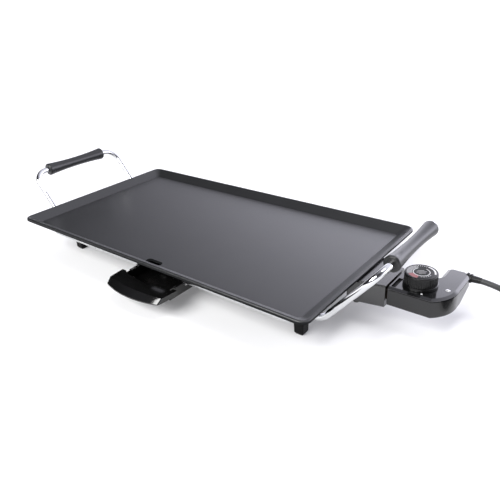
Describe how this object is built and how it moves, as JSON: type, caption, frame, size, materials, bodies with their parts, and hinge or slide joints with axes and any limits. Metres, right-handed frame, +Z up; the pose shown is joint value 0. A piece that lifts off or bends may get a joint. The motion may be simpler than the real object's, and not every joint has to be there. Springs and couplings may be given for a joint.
{
  "type": "electric griddle",
  "caption": "Electric table griddle: shallow non-stick plate on four legs with a pull-out drip tray, two raised rod handles and a plug-in thermostat.",
  "frame": {"origin": "bottom middle of the griddle with its controller plugged in, on the table top; the free cord, its coil and its plug are not counted", "axes": "+X along the long side towards the controller, +Y from the drip tray's front towards the back, +Z up"},
  "size_m": [0.7869, 0.293, 0.1092],
  "materials": {
    "nonstick": "cast aluminium under a satin dark grey non-stick coating",
    "element": "matt oxidised steel tube",
    "steel": "zinc plated steel",
    "sheet_steel": "plain sheet steel",
    "housing_plastic": "moulded phenolic",
    "insulator": "moulded insulating plastic",
    "chrome": "chromed rod",
    "grip_plastic": "semi-gloss moulded phenolic",
    "leg_plastic": "semi-gloss moulded phenolic",
    "foot_rubber": "matt",
    "tray_plastic": "moulded",
    "tray_gloss": "glossy moulded",
    "case_plastic": "semi-gloss moulded",
    "case_gloss": "glossy moulded",
    "brass": "plain",
    "probe_steel": "polished stainless tube",
    "lead_sleeve": "woven insulating sleeve",
    "dial_print": "printed disc",
    "lamp_glass": "clear",
    "lens": "translucent white",
    "cord_rubber": "smooth matt sheath",
    "button_plastic": "matt moulded",
    "relief_rubber": "matt moulded",
    "dark_steel": "black zinc plated steel",
    "tie": "woven hook and loop band",
    "plug_rubber": "smooth moulded"
  },
  "bodies": {
    "griddle": {"griddle_plate": "nonstick", "heating_element": "element", "terminal_pins": "steel", "element_clamps": "sheet_steel", "clamp_screws": "steel", "probe_guide": "sheet_steel", "socket_housing": "housing_plastic", "housing_screws": "steel", "terminal_block": "insulator", "front_rail": "chrome", "rear_rail": "chrome", "left_handle_rod": "chrome", "right_handle_rod": "chrome", "grip_screws": "steel", "left_grip_inner": "grip_plastic", "left_grip_outer": "grip_plastic", "right_grip_inner": "grip_plastic", "right_grip_outer": "grip_plastic", "leg_left_front": "leg_plastic", "leg_left_rear": "leg_plastic", "leg_right_front": "leg_plastic", "leg_right_rear": "leg_plastic", "leg_screws": "steel", "foot_pads": "foot_rubber", "tray_guide_left": "sheet_steel", "tray_guide_right": "sheet_steel", "guide_screws": "steel"},
    "tray": {"drip_tray": "tray_plastic", "tray_front": "tray_gloss", "tray_screws": "dark_steel"},
    "controller": {"controller_base": "case_plastic", "controller_cover": "case_gloss", "case_screws": "steel", "switch_base": "insulator", "contact_sleeves": "brass", "temperature_probe": "probe_steel", "bimetal_arm": "brass", "internal_leads": "lead_sleeve", "pilot_lamp": "lamp_glass", "pilot_lens": "lens", "strain_relief": "relief_rubber", "power_cord": "cord_rubber", "plug_lead": "cord_rubber", "cord_coil": "cord_rubber", "cord_tie": "tie", "plug_body": "plug_rubber", "plug_pins": "brass", "button_spring": "steel"},
    "dial": {"dial_shaft": "steel", "dial_knob": "case_gloss", "dial_face": "dial_print"},
    "button": {"release_button": "button_plastic"}
  },
  "joints": [
    {"name": "tray_slide", "type": "slide", "parent": "griddle", "child": "tray", "axis": [0, -1, 0], "range_m": [0, 0.12]},
    {"name": "controller_unplug", "type": "slide", "parent": "griddle", "child": "controller", "axis": [1, 0, 0], "range_m": [0, 0.085]},
    {"name": "dial_turn", "type": "hinge", "parent": "controller", "child": "dial", "pos_m": [0.27244, 0.0175, 0.055], "axis": [0, 0, 1], "range_deg": [-290, 0]},
    {"name": "button_press", "type": "slide", "parent": "controller", "child": "button", "axis": [0, 0, -1], "range_m": [0, 0.0015], "stiffness_N_per_m": 600, "deforming": ["button_spring"]}
  ]
}
